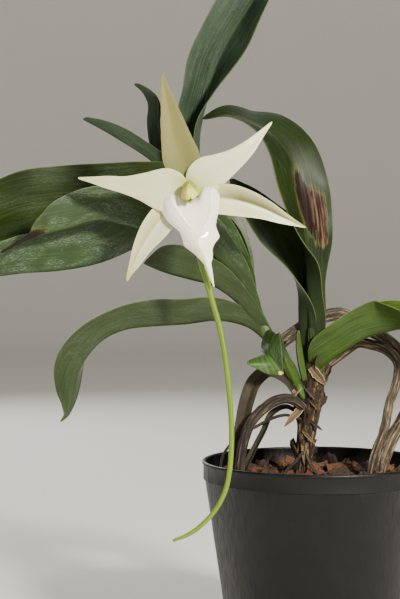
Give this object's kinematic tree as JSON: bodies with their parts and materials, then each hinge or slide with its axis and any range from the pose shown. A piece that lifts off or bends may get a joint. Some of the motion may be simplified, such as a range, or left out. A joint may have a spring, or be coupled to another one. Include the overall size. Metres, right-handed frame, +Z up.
{
  "type": "potted orchid",
  "caption": "Darwin's orchid in flower: a waxy white star with a long hanging nectar spur, on a leafy stem with aerial roots, in a plain black pot of bark.",
  "frame": {"origin": "centre of the pot's underside, which rests on the floor", "axes": "+Z up; +X to the right and +Y away in the front view, so the flower faces -Y"},
  "size_m": [0.4589, 0.2362, 0.6615],
  "materials": {
    "pot": "matt black nursery plastic, slightly scuffed",
    "bark": "split orange-brown bark, matt",
    "stem": "dry papery leaf-sheath remains, matt",
    "shoot": "green young stem, satin",
    "leaf": "thick leathery leaf, satin, with pale mineral film",
    "old_leaf": "dry dead leaf, matt, ribbed along its length",
    "root": "silvery tan aerial root, matt and fibrous",
    "stalk": "green flower stalk, satin",
    "tepal": "waxy ivory white, green at the base",
    "lip": "waxy pure white, fine pearly bumps",
    "column": "waxy pale green",
    "spur": "waxy pale yellow-green"
  },
  "bodies": {
    "root": {"pot": "pot", "bark_medium": "bark", "stem_main": "stem", "stem_side": "shoot", "flower_column": "column", "flower_stalk": "stalk", "anther_cap": "lip", "lip": "lip", "spur": "spur", "dorsal_sepal": "tepal", "petal_left": "tepal", "petal_right": "tepal", "lateral_sepal_left": "tepal", "lateral_sepal_right": "tepal", "leaf_dead": "old_leaf", "leaf_dead_thin": "old_leaf", "leaf_arching": "leaf", "leaf_back_high": "leaf", "leaf_back_low": "leaf", "leaf_base_pale": "leaf", "leaf_broad": "leaf", "leaf_brown_tip": "leaf", "leaf_lower": "leaf", "leaf_middle": "leaf", "leaf_right": "leaf", "leaf_scarred": "leaf", "leaf_shaded": "leaf", "leaf_sheath": "leaf", "leaf_short": "leaf", "leaf_tall": "leaf", "root_left": "root", "root_right_high": "root", "root_right_low": "root", "root_thin_left": "root", "root_thin_right": "root", "root_thin_side": "root"}
  },
  "joints": []
}
